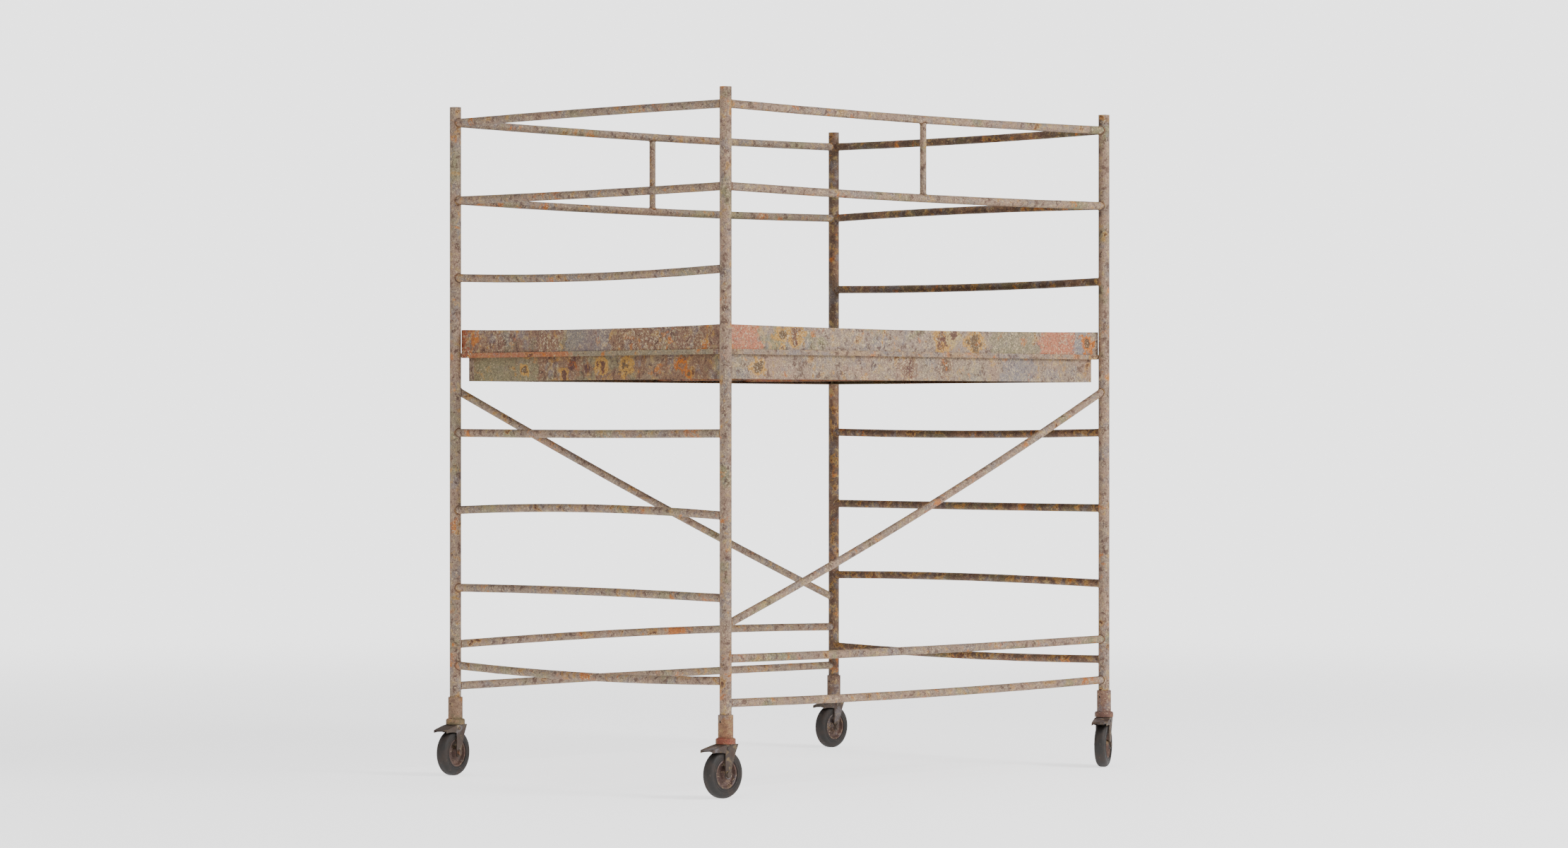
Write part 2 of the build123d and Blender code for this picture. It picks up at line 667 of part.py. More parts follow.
bar_x = 2 * (EDGE_X - SADDLE)
bar_y = 2 * (EDGE_Y - SADDLE)
side_bar_y = EDGE_Y - EDGE_SIDE_WIDTH / 2
end_bar_x = EDGE_X - EDGE_END_WIDTH / 2
write(
    edge_frame([(bar_x, EDGE_SIDE_WIDTH, (BAY_X, BAY_Y + s * side_bar_y), 0) for s in (-1, 1)]),
    "deck_edge_sides",
)
write(
    edge_frame([(bar_y, EDGE_END_WIDTH, (BAY_X + s * end_bar_x, BAY_Y), 90) for s in (-1, 1)]),
    "deck_edge_ends",
)
write(corner_saddles(), "deck_corner_saddles")
for side in ("front", "rear", "left", "right"):
    write(toe_board(side), f"toe_board_{side}")
    write(deck_beam(side), f"deck_beam_{side}")
write(joists(), "deck_joists")
write(planks(), "deck_planks")
write(toe_board_bolts(), "toe_board_bolts")

write(lock_pins(), "caster_lock_pins")
write(kingpins(), "caster_kingpins")
write(swivel_races(), "swivel_races")
for corner in CORNERS:
    write(caster_socket(corner), f"caster_socket_{corner}")
    write(caster_fork(corner), f"caster_fork_{corner}")
    write(caster_hardware(corner), f"caster_hardware_{corner}")
    write(brake_pedal(corner), f"brake_pedal_{corner}")
    write(wheel_rim(corner), f"wheel_rim_{corner}")
    write(tyre(corner), f"tyre_{corner}")
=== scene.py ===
# %% [markdown]
# # A rusty baker scaffold
# A baker scaffold is a small rolling tower. Two welded ladder frames stand on casters, tubes join
# them along the long sides, and a steel platform hooks in between. The metal parts arrive ready
# made and in place. This lesson gives them their worn finish, and adds the small things a camera
# sees: weld beads, pressed grips on the deck, rings on the tyres, rust and grit.

import json
import math

import bmesh
import bpy
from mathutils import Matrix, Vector


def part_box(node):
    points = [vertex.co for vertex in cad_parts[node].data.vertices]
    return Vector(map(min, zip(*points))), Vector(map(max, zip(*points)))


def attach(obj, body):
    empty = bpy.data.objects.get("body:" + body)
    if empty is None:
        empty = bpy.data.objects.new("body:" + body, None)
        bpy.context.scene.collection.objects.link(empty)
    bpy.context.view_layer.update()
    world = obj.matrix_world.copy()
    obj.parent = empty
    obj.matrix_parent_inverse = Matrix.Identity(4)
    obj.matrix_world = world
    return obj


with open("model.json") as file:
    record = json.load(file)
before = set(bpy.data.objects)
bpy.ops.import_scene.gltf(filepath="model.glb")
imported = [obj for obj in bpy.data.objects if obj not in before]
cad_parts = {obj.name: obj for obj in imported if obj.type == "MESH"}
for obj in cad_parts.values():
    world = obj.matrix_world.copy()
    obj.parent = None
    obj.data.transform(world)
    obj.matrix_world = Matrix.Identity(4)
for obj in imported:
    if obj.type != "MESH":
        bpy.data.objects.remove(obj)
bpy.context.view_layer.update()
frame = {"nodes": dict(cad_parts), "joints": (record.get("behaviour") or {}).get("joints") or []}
nodes = frame["nodes"]
CORNERS = ("front_left", "front_right", "rear_left", "rear_right")

# %% [markdown]
# Every place in this script is measured from the posts, so nothing has to be typed in twice. A
# post's box gives its axis and its radius, and the four axes give the middle of the bay.

# %% Measure the posts
def middle(node):
    low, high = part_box(node)
    return (low + high) / 2


def size(node):
    low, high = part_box(node)
    return high - low


posts = {corner: middle(f"post_{corner}") for corner in CORNERS}
POST_R = size("post_front_left").x / 2
bay = sum(posts.values(), Vector()) / len(posts)
BAY_LENGTH = posts["front_right"].x - posts["front_left"].x
BAY_WIDTH = posts["rear_left"].y - posts["front_left"].y
print(f"bay {BAY_LENGTH:.3f} by {BAY_WIDTH:.3f} m round ({bay.x:.3f}, {bay.y:.3f})")

# %% [markdown]
# The camera stands well back at chest height and looks level, corner on, through a long lens. A
# long lens keeps the upright posts parallel and makes the far end only a little smaller.

# %% Camera
CAMERA_OFFSET = Vector((-12.477, -12.457, 0))
CAMERA_HEIGHT = 1.382
CAMERA_YAW = math.radians(-45.05)
LENS = 101.5

camera = bpy.data.objects.new("camera", bpy.data.cameras.new("camera"))
camera.location = Vector((bay.x, bay.y, CAMERA_HEIGHT)) + CAMERA_OFFSET
camera.rotation_euler = (math.pi / 2, 0, CAMERA_YAW)
camera.data.lens = LENS
camera.data.clip_end = 200
bpy.context.scene.collection.objects.link(camera)
bpy.context.scene.camera = camera
print("camera", camera.location[:], "lens", LENS)

# %% [markdown]
# Colours are easiest to read as the 0 to 255 values of a paint chart, but Blender mixes light in
# linear values, so `paint` converts them. `NodeTree` adds one node and its links in one call, and
# `Finish` gives short names to the few shader nodes that all the finishes share. Every pattern
# reads Object coordinates in metres, so a scale of 10 means features about a tenth of a metre
# wide, and the pattern never slides when a piece moves.

# %% Shader helpers
PIGMENT = 1.36  # how much stronger than on the chart the colours are mixed
DEPTH = 0.645  # how much darker


def paint(red, green, blue):
    """A paint chart colour, mixed a little stronger and deeper, because soft light washes it out."""
    def linear(value):
        share = value / 255
        return share / 12.92 if share <= 0.04045 else ((share + 0.055) / 1.055) ** 2.4

    shades = [linear(value) for value in (red, green, blue)]
    grey = sum(shades) / 3
    return (*(max(0.0, DEPTH * (grey + PIGMENT * (shade - grey))) for shade in shades), 1.0)


class NodeTree:
    """A node tree under construction. An input is given a value, or another node's output."""

    def __init__(self, tree):
        self.tree = tree

    def feed(self, socket, value):
        if isinstance(value, bpy.types.NodeSocket):
            self.tree.links.new(value, socket)
        else:
            socket.default_value = value

    def node(self, kind, inputs=(), **settings):
        made = self.tree.nodes.new(kind)
        for key, value in settings.items():
            setattr(made, key, value)
        for key, value in dict(inputs).items():
            self.feed(made.inputs[key], value)
        return made


class Finish(NodeTree):
    """A material under construction, with one short method for each kind of node."""

    def __init__(self, name):
        self.material = bpy.data.materials.new(name)
        self.material.use_nodes = True
        super().__init__(self.material.node_tree)
        self.shader = self.tree.nodes["Principled BSDF"]
        self.place = self.tree.nodes.new("ShaderNodeTexCoord").outputs["Object"]

    def noise(self, scale, detail=3.0, roughness=0.55, distortion=0.0, place=None):
        return self.node("ShaderNodeTexNoise", {
            "Vector": place or self.place, "Scale": scale, "Detail": detail,
            "Roughness": roughness, "Distortion": distortion,
        }).outputs["Fac"]

    def between(self, value, low, high, start=0.0, end=1.0):
        """0 below low and 1 above high, with a smooth step between."""
        return self.node("ShaderNodeMapRange", {
            "Value": value, "From Min": low, "From Max": high, "To Min": start, "To Max": end,
        }, interpolation_type="SMOOTHSTEP").outputs["Result"]

    def combine(self, operation, first, second):
        return self.node("ShaderNodeMath", {0: first, 1: second}, operation=operation).outputs[0]

    def mix(self, share, first, second, blend="MIX"):
        """Two colours mixed. The mix node keeps its colour sockets at numbers 6, 7 and 2."""
        inputs = {0: share, 6: first, 7: second}
        return self.node("ShaderNodeMix", inputs, data_type="RGBA", blend_type=blend).outputs[2]

    def dent(self, height, strength, distance):
        inputs = {"Height": height, "Strength": strength, "Distance": distance}
        return self.node("ShaderNodeBump", inputs).outputs["Normal"]

    def shade(self, **sockets):
        names = {"color": "Base Color", "rough": "Roughness", "normal": "Normal",
                 "gloss": "Specular IOR Level"}
        for key, value in sockets.items():
            self.feed(self.shader.inputs[names[key]], value)
        return self.material


print("shader helpers ready")

# %% [markdown]
# Old scaffold paint is never one colour. It has faded in broad clouds, rust has bled orange
# through it, scale has lifted in dark blotches with a bright halo, and plaster and grit leave pale
# specks. Each of these is one noise pattern, cut to a mask, that mixes in one colour. The same
# recipe with other tones and amounts makes every painted piece, so they look as if they have aged
# side by side.

# %% Weathered paint
ORANGE = paint(196, 122, 62)
OCHRE = paint(200, 158, 104)
SCALE_DARK = paint(92, 64, 62)
CREAM = paint(226, 206, 176)
PIT = paint(84, 60, 54)
SALMON = paint(200, 132, 108)
SLATE = paint(142, 138, 140)
STRAW = paint(196, 172, 130)

# how many features of each pattern fit in a metre
CLOUDS, DUSTY, BLEED, TINT, LIFTED = 5.5, 7.0, 10.0, 14.0, 15.0
MOTTLE, PITS, CURLS, GRAIN = 36.0, 105.0, 125.0, 230.0


def weathered(name, tones, rust=0.5, blotches=0.5, specks=0.5, shift=0.0, patches=(), mottled=1.0):
    """Faded paint in three tones, with rust bleeding through. Amounts run from 0 to about 1.

    The shift moves every pattern to another place, so that no two finishes look alike.
    """
    f = Finish(name)
    here = f.node("ShaderNodeVectorMath", {0: f.place, 1: (shift, 2 * shift, -shift)}).outputs[0]
    clouds = f.noise(CLOUDS, 4, 0.6, place=here)
    tint = f.noise(TINT, 4, 0.62, 0.3, here)
    mottle = f.noise(MOTTLE, 4, 0.62, 0.3, here)
    grain = f.noise(GRAIN, 3, 0.65, place=here)
    # broad clouds of the three tones, greyed in places, then mottled dark and straw
    color = f.mix(f.between(clouds, 0.40, 0.50), tones[0], tones[1])
    color = f.mix(f.between(clouds, 0.54, 0.64), color, tones[2])
    color = f.mix(f.between(tint, 0.52, 0.64, 0, 0.5), color, SLATE)
    color = f.mix(f.between(mottle, 0.47, 0.36, 0, 0.68 * mottled), color, PIT)
    color = f.mix(f.between(mottle, 0.54, 0.66, 0, 0.6 * mottled), color, STRAW)
    for patch in patches:
        color = patch(f, color)
    # rust bleeding through: more rust lowers the edge of its mask
    bleed = f.combine("ADD", f.noise(BLEED, 5, 0.7, 0.4, here), f.combine("MULTIPLY", mottle, 0.35))
    edge = 0.80 - 0.10 * rust
    color = f.mix(f.between(bleed, edge, edge + 0.12, 0, min(0.8, 2.4 * rust)), color, ORANGE)
    # dark blotches of lifted scale, each inside an ochre halo
    lifted = f.combine("ADD", f.noise(LIFTED, 4, 0.62, 0.5, here), f.combine("MULTIPLY", mottle, 0.25))
    core = 0.845 - 0.10 * blotches
    color = f.mix(f.between(lifted, core - 0.10, core - 0.02, 0, min(0.55, 2 * blotches)), color, OCHRE)
    scale = f.between(lifted, core - 0.03, core + 0.03)
    color = f.mix(f.combine("MULTIPLY", scale, 0.85), color, SCALE_DARK)
    # fine grain over everything, then curls of pale grit where it is dusty, and dark pits
    dark, bright = 1 - 0.38 * mottled, 1 + 0.26 * mottled
    color = f.mix(1.0, color, f.between(grain, 0.34, 0.66, dark, bright), "MULTIPLY")
    curls = f.noise(CURLS, 2, 0.55, 1.0, here)
    dusty = f.between(f.noise(DUSTY, 3, 0.6, place=here), 0.32, 0.58, 0.3, 1)
    low = 0.66 - 0.11 * specks
    speck = f.combine("MULTIPLY", f.between(curls, low, low + 0.07, 0, min(0.75, 2 * specks)), dusty)
    color = f.mix(speck, color, CREAM)
    pits = f.between(f.noise(PITS, 3, 0.62, 0.4, here), 0.585, 0.66)
    color = f.mix(f.combine("MULTIPLY", pits, 0.55), color, PIT)
    # the surface follows: scale stands up, pits go down, and both are rougher than sound paint
    height = f.combine("SUBTRACT", f.combine("ADD", grain, f.combine("MULTIPLY", scale, 0.8)), pits)
    rough = f.between(f.combine("ADD", grain, scale), 0.3, 1.2, 0.62, 0.95)
    return f.shade(color=color, rough=rough, normal=f.dent(height, 0.5, 0.0006), gloss=0.35)


def spot(center, radius, inner, outer, share=0.9):
    """A rust spot at one place on a piece: an inner colour inside a ragged outer ring."""
    def apply(f, color):
        away = f.node("ShaderNodeVectorMath", {0: f.place, 1: center}, operation="DISTANCE").outputs["Value"]
        ragged = f.combine("ADD", away, f.between(f.noise(28.0, 4, 0.7), 0.25, 0.75, -radius / 2, radius / 2))
        color = f.mix(f.between(ragged, radius, radius * 0.7, 0, share), color, outer)
        return f.mix(f.between(ragged, radius * 0.55, radius * 0.4, 0, share), color, inner)
    return apply


def band(axis, start, end, tone, share=0.8):
    """A stretch of another colour along X, Y or Z, with ragged ends."""
    def apply(f, color):
        along = f.node("ShaderNodeSeparateXYZ", {0: f.place}).outputs[axis]
        ragged = f.combine("ADD", along, f.between(f.noise(24.0, 4, 0.7), 0.25, 0.75, -0.03, 0.03))
        inside = f.combine("MULTIPLY", f.between(ragged, start - 0.01, start + 0.01),
                       f.between(ragged, end + 0.01, end - 0.01))
        patchy = f.between(f.noise(45.0, 4, 0.7), 0.35, 0.5, 0.35, share)
        return f.mix(f.combine("MULTIPLY", inside, patchy), color, tone)
    return apply


TAUPE, PINKISH, OLIVE = paint(160, 142, 128), paint(170, 146, 130), paint(146, 138, 112)
BROWN, DARK_BROWN, UMBER = paint(140, 112, 94), paint(112, 92, 78), paint(96, 80, 66)
RED = paint(166, 96, 76)
print("weathered paint ready")

# %% [markdown]
# The front tubes are the palest, with pinkish and grey clouds, and those of the left end and the
# rear are a little browner. The rungs of the right end and the post behind them have rusted most,
# and their blotches run together. Their paint is also mixed darker as painted shade, because they
# face away from the key light. One finish for each group is enough, because the pattern takes its
# changes from where a piece stands.

# %% Tube finishes
tube_front = weathered("faded_paint", (TAUPE, PINKISH, OLIVE), 0.5, 0.35, 0.85)
tube_left = weathered("faded_brown_paint", (PINKISH, TAUPE, paint(158, 148, 124)), 0.5, 0.4, 0.8, shift=3.1)
# the darker browns here are partly rust and partly painted shade, for pieces that face away from the key
# light
tube_far = weathered("rusty_paint", (BROWN, DARK_BROWN, paint(118, 106, 84)), 0.5, 0.7, 0.3, shift=7.7)


def finish(material, *names):
    """Gives a ready-made piece its material, in the slots it already has."""
    for name in names:
        mesh = nodes[name].data
        if not mesh.materials:
            mesh.materials.append(material)
        for index in range(len(mesh.materials)):
            mesh.materials[index] = material


finish(tube_front, "post_front_left", "post_front_right", "front_top_rail", "front_mid_rail",
       "front_base_rail_upper", "front_base_rail_lower", "front_rail_strut", "front_brace")
finish(tube_left, "post_rear_left", "left_end_rungs", "rear_top_rail", "rear_mid_rail",
       "rear_rail_strut", "rear_brace", "rear_base_rail_upper", "rear_base_rail_lower")
finish(tube_far, "post_rear_right", "right_end_rungs", "deck_studs")

# %% [markdown]
# The platform is folded sheet steel. Its toe boards carry the brightest colours on the tower:
# salmon primer shows at both ends of the front one, and two dark scabs of rust have burned
# through with orange rings. These have a place of their own, so they are spots and bands measured
# from the middle of the bay, laid over the same weathered paint.

# %% Front and left boards
TOE_Z, BEAM_Z = middle("toe_board_front").z, middle("deck_beam_left").z
TOE_FRONT_Y, BEAM_FRONT_Y = (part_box(node)[0].y for node in ("toe_board_front", "deck_beam_front"))
BEAM_LEFT_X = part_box("deck_beam_left")[0].x
LEFT_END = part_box("toe_board_left")[1].y


def on_toe(along, up):
    return (bay.x + along, TOE_FRONT_Y, TOE_Z + up)


def on_front_beam(along, up):
    return (bay.x + along, BEAM_FRONT_Y, BEAM_Z + up)


def on_left_beam(along, up):
    return (BEAM_LEFT_X, bay.y + along, BEAM_Z + up)


toe_front = weathered("toe_board_paint", (TAUPE, paint(166, 148, 136), OLIVE), 0.3, 0.25, 1.0, 1.3, (
    band(0, bay.x - 1.08, bay.x - 0.87, SALMON),
    band(0, bay.x + 0.70, bay.x + 0.90, SALMON),
    band(0, bay.x + 0.90, bay.x + 0.97, SLATE),
    band(0, bay.x + 0.40, bay.x + 0.68, OLIVE, 0.7),
    spot(on_toe(-0.685, 0.006), 0.060, SCALE_DARK, OCHRE),
    spot(on_toe(-0.758, 0.010), 0.048, UMBER, OCHRE),
    spot(on_toe(-0.750, -0.035), 0.024, SCALE_DARK, OCHRE),
    spot(on_toe(0.13, 0.004), 0.062, SCALE_DARK, OCHRE),
    spot(on_toe(0.19, 0.025), 0.050, SCALE_DARK, STRAW),
    spot(on_toe(0.31, -0.012), 0.062, UMBER, OCHRE),
    spot(on_toe(0.985, -0.005), 0.050, UMBER, ORANGE),
))
left_tones = (BROWN, paint(136, 108, 94), paint(136, 122, 102))
toe_left = weathered("speckled_paint", left_tones, 0.4, 0.3, 1.1, 4.4, (
    band(1, LEFT_END - 0.016, LEFT_END + 0.02, RED),
    band(1, bay.y - 0.12, bay.y + 0.12, SLATE, 0.5),
))
olive_tones = (paint(142, 130, 108), BROWN, paint(150, 130, 112))
beam_left = weathered("olive_paint", olive_tones, 0.3, 0.5, 0.6, 5.2, (
    band(1, bay.y + 0.33, bay.y + 0.72, OLIVE, 0.8),
    spot(on_left_beam(0.40, -0.005), 0.030, UMBER, OCHRE),
    spot(on_left_beam(0.13, 0.015), 0.050, SCALE_DARK, BROWN),
    spot(on_left_beam(0.18, -0.025), 0.034, SCALE_DARK, OCHRE),
    spot(on_left_beam(0.05, 0.0), 0.036, SCALE_DARK, BROWN),
    spot(on_left_beam(-0.04, 0.005), 0.040, SCALE_DARK, OCHRE),
    spot(on_left_beam(-0.17, 0.005), 0.045, UMBER, OCHRE),
    spot(on_left_beam(-0.48, 0.012), 0.036, BROWN, ORANGE),
    spot(on_left_beam(-0.52, -0.03), 0.022, UMBER, ORANGE),
))
beam_front = weathered("pale_paint", (PINKISH, TAUPE, paint(160, 146, 128)), 0.35, 0.35, 1.1, 2.6, (
    spot(on_front_beam(-0.87, 0.0), 0.050, UMBER, OCHRE),
    spot(on_front_beam(-0.05, 0.0), 0.055, SCALE_DARK, BROWN, 0.7),
    spot(on_front_beam(0.16, 0.01), 0.045, UMBER, BROWN, 0.7),
    band(0, bay.x + 0.48, bay.x + 0.68, SLATE, 0.6),
))

# %% Edge frame, planks and joists
streaks = (band(1, bay.y + 0.12, bay.y + 0.75, paint(176, 112, 84), 0.75),
           band(1, bay.y - 0.70, bay.y + 0.12, paint(140, 132, 112), 0.7))
edge_tones = (TAUPE, paint(176, 152, 130), paint(170, 144, 116))
plank_tones = (paint(132, 110, 94), paint(120, 102, 88), paint(146, 122, 104))
joist_tones = (paint(176, 128, 104), paint(184, 122, 98), paint(150, 116, 98))
edge = weathered("edge_paint", edge_tones, 0.5, 0.15, 0.5, 6.1, streaks)
scuffed = weathered("scuffed_planks", plank_tones, 0.3, 0.3, 0.6, 8.3)
underside = weathered("underside_rust", joist_tones, 0.4, 0.5, 0.4, 8.3)
finish(toe_front, "toe_board_front")
finish(toe_left, "toe_board_left", "toe_board_rear", "toe_board_right", "deck_corner_saddles")
finish(beam_left, "deck_beam_left", "deck_beam_right")
finish(beam_front, "deck_beam_front", "deck_beam_rear")
finish(edge, "deck_edge_sides", "deck_edge_ends")
finish(underside, "deck_joists")
finish(scuffed, "deck_planks")
print("platform painted")

# %% [markdown]
# The casters are the dirtiest part. Red primer has survived on one socket's collar, the forks are
# dark with grease and road grit, and the wheel centres are bare cast iron with a rusty bloom.

# %% Caster finishes
GREASE, GRIME, ASH = paint(92, 82, 74), paint(78, 68, 62), paint(108, 94, 84)
COLLAR_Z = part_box("caster_socket_front_left")[0].z
COLLAR_HEIGHT = 0.021

# each socket's finish: its name, three tones, the collar's colour and the shift of its patterns
SOCKET_LOOKS = {
    "front_left": ("red_primer_socket", (paint(150, 112, 90), paint(150, 118, 96), paint(166, 104, 82)),
                   paint(146, 90, 78), 2.2),
    "rear_left": ("olive_socket", (paint(146, 120, 100), paint(150, 126, 108), paint(168, 120, 84)),
                  paint(124, 112, 90), 5.6),
    "front_right": ("brown_socket", (paint(132, 106, 94), paint(140, 114, 100), BROWN),
                    paint(120, 92, 84), 3.7),
    "rear_right": ("dark_socket", (paint(120, 98, 86), paint(128, 106, 92), BROWN),
                   paint(110, 88, 78), 8.9),
}


def socket_finish(name, tones, collar, shift):
    """A socket's paint, with another colour on its collar."""
    ring = band(2, COLLAR_Z - 0.03, COLLAR_Z + COLLAR_HEIGHT, collar, 0.9)
    return weathered(name, tones, 0.18, 0.08, 0.35, shift, (ring,), mottled=0.75)


socket_finishes = {corner: socket_finish(*look) for corner, look in SOCKET_LOOKS.items()}
hub_tones = (paint(112, 92, 86), paint(100, 84, 78), paint(126, 104, 96))
bolt_tones = (paint(72, 66, 62), paint(86, 76, 68), GRIME)
fork_finish = weathered("greasy_fork", (GREASE, GRIME, ASH), 0.02, 0.0, 0.05, 5.9, mottled=0.5)
wheel_iron = weathered("cast_wheel_centre", hub_tones, 0.06, 0.0, 0.45, 6.6, mottled=0.5)
bolt_steel = weathered("dull_bolt_steel", bolt_tones, 0.1, 0.1, 0.2, 9.1, mottled=0.6)


def tyre_rubber():
    """Hard grey-black rubber, dusty, with fine scuffs."""
    f = Finish("worn_rubber")
    dust = f.noise(26.0, 5, 0.65)
    grain = f.noise(420.0, 4, 0.7)
    color = f.mix(f.between(dust, 0.40, 0.68), paint(42, 39, 37), paint(64, 56, 52))
    color = f.mix(f.between(f.noise(60.0, 3), 0.62, 0.72, 0, 0.3), color, paint(110, 98, 90))
    height = f.combine("ADD", f.combine("MULTIPLY", grain, 0.5), dust)
    return f.shade(color=color, rough=f.between(dust, 0.3, 0.7, 0.48, 0.72),
                   normal=f.dent(height, 0.3, 0.0004), gloss=0.4)


rubber = tyre_rubber()
for corner in CORNERS:
    finish(socket_finishes[corner], f"caster_socket_{corner}")
    finish(fork_finish, f"caster_fork_{corner}", f"brake_pedal_{corner}")
    finish(wheel_iron, f"wheel_rim_{corner}")
    finish(bolt_steel, f"caster_hardware_{corner}")
    finish(rubber, f"tyre_{corner}")
finish(bolt_steel, "toe_board_bolts", "caster_lock_pins", "caster_kingpins", "swivel_races")
print(len(bpy.data.materials), "materials")

# %% [markdown]
# Each rung and rail is welded to its post all the way round. A hand weld is a row of small
# overlapping beads, and it repeats about fifty times on this tower, so Geometry Nodes lay it. The
# script only works out the seam, where the skin of the tube meets the skin of the post. The node
# tree then walks along the seam, sets a bead at every step, and varies each bead's size a little.

# %% Find the tube ends
UP = Vector((0, 0, 1))
ON_POST = 0.0006  # a tube's cut end lies this close to the post's skin
RING_NEAR, RING_FAR = 0.045, 0.13  # the next ring of points along the tube lies between these
TUBE_GAP = 0.045  # tubes that end on one post are further apart in height than this
RING_LEVEL = 0.05  # and no higher or lower than this from the tube's end
TUBE_NODES = [f"{end}_end_rungs" for end in ("left", "right")] + [
    f"{side}_{kind}" for side in ("front", "rear")
    for kind in ("top_rail", "mid_rail", "base_rail_upper", "base_rail_lower", "brace")]


def skin_points(node):
    """The different corner points of a ready-made piece's mesh."""
    return [Vector(key) for key in {tuple(round(c, 5) for c in v.co) for v in nodes[node].data.vertices}]


def level_groups(points):
    """Splits points into groups that lie at different heights."""
    groups = []
    for point in sorted(points, key=lambda p: p.z):
        if groups and point.z - groups[-1][-1].z < TUBE_GAP:
            groups[-1].append(point)
        else:
            groups.append([point])
    return groups


def average(points):
    return sum(points, Vector()) / len(points)


def tube_ends(node, post):
    """The centre, direction and radius of every tube of a piece that ends on a post."""
    near = [(p, (p.xy - post.xy).length) for p in skin_points(node)]
    ends = []
    for group in level_groups([p for p, away in near if away < POST_R + ON_POST]):
        start = average(group)
        ring = [p for p, away in near if RING_NEAR < away < RING_FAR and abs(p.z - start.z) < RING_LEVEL]
        along = (average(ring) - start).normalized()
        across = (max(p.z for p in group) - min(p.z for p in group)) / 2
        ends.append((start, along, across * along.xy.length))
    return ends


ends = [(posts[corner], *end) for node in TUBE_NODES for corner in CORNERS
        for end in tube_ends(node, posts[corner])]
print(len(ends), "welded tube ends, radii", sorted({round(end[3] * 1000, 1) for end in ends}))

# %% Seams round the tube ends
SEAM_STEPS = 28
BEAD_R = 0.0030
BEAD_OUT, BEAD_OFF = BEAD_R * 0.35, BEAD_R * 0.2  # how far a bead's centre is off each skin
RAIL_R = size("front_top_rail").y / 2


def seam_turns():
    """The angles of a seam's points, once round the tube."""
    return [2 * math.pi * step / SEAM_STEPS for step in range(SEAM_STEPS)]


def round_post(post, start, along, radius):
    """The closed seam where a tube meets a post, a little outside both skins."""
    side = along.cross(UP).normalized()
    up = side.cross(along)
    reach = POST_R + BEAD_OFF
    loop = []
    for turn in seam_turns():
        skin = start + (radius + BEAD_OUT) * (math.cos(turn) * side + math.sin(turn) * up)
        gap = skin.xy - post.xy
        # where the line through this point, along the tube, crosses the cylinder round the post
        a, b, c = along.xy.dot(along.xy), along.xy.dot(gap), gap.dot(gap) - reach * reach
        loop.append(skin + along * ((-b + math.sqrt(max(0.0, b * b - a * c))) / a))
    return loop


def round_rail(node, at_top):
    """The seam where an upright strut meets the rail above or below it."""
    low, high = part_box(node)
    radius, center = (high.x - low.x) / 2, (low + high) / 2
    drop = math.sqrt(RAIL_R ** 2 - radius ** 2)
    axis, sign = (high.z + drop, -1) if at_top else (low.z - drop, 1)
    loop = []
    for turn in seam_turns():
        x, y = (radius + BEAD_OUT) * math.cos(turn), (radius + BEAD_OUT) * math.sin(turn)
        rise = math.sqrt((RAIL_R + BEAD_OFF) ** 2 - min(abs(y), radius) ** 2)
        loop.append(Vector((center.x + x, center.y + y, axis + sign * rise)))
    return loop


seams = [round_post(*end) for end in ends]
seams += [round_rail(f"{side}_rail_strut", top) for side in ("front", "rear") for top in (False, True)]
print(len(seams), "seams")

# %% [markdown]
# The bead tree has three inputs: how far apart the beads are, how big they are, and the material.
# It turns the seam into a curve, resamples it at the bead pitch, and puts a low ball on each point.
# Realize Instances makes the balls real mesh, because an export would drop plain instances.

# %% Geometry Nodes helper
class Growth(NodeTree):
    """A Geometry Nodes tree under construction, with number inputs that have a name each."""

    def __init__(self, name, **numbers):
        super().__init__(bpy.data.node_groups.new(name, "GeometryNodeTree"))
        self.add_socket("Geometry", "Geometry", "INPUT")
        self.values = {self.add_socket(label, "Float", "INPUT"): value for label, value in numbers.items()}
        self.material_input = self.add_socket("Material", "Material", "INPUT")
        self.add_socket("Geometry", "Geometry", "OUTPUT")
        self.given = self.tree.nodes.new("NodeGroupInput").outputs
        self.out = self.tree.nodes.new("NodeGroupOutput").inputs

    def add_socket(self, label, kind, side):
        """Adds an input or output to the tree's own face, and returns its identifier."""
        face = self.tree.interface
        return face.new_socket(label, in_out=side, socket_type=f"NodeSocket{kind}").identifier

    def close(self, instances):
        """Makes the instances real, gives them the material, and ends the tree."""
        real = self.node("GeometryNodeRealizeInstances", {0: instances}).outputs[0]
        painted = self.node("GeometryNodeSetMaterial", {"Geometry": real, "Material": self.given["Material"]})
        self.feed(self.out[0], painted.outputs[0])

    def grow(self, name, mesh, material):
        """Runs the tree on a mesh and returns the result as a plain mesh object."""
        holder = bpy.data.objects.new(f"{name}_source", mesh)
        bpy.context.scene.collection.objects.link(holder)
        modifier = holder.modifiers.new("grow", "NODES")
        modifier.node_group = self.tree
        for identifier, value in {**self.values, self.material_input: material}.items():
            modifier[identifier] = value
        bpy.context.view_layer.update()
        ready = holder.evaluated_get(bpy.context.evaluated_depsgraph_get())
        grown = bpy.data.objects.new(name, bpy.data.meshes.new_from_object(ready))
        bpy.context.scene.collection.objects.link(grown)
        holder.modifiers.remove(modifier)
        bpy.data.objects.remove(holder)
        print(name, len(grown.data.polygons), "faces")
        return grown


# %% Lay the beads
BEAD_PITCH = 0.0046
SMALLEST, BIGGEST = 0.78, 1.12


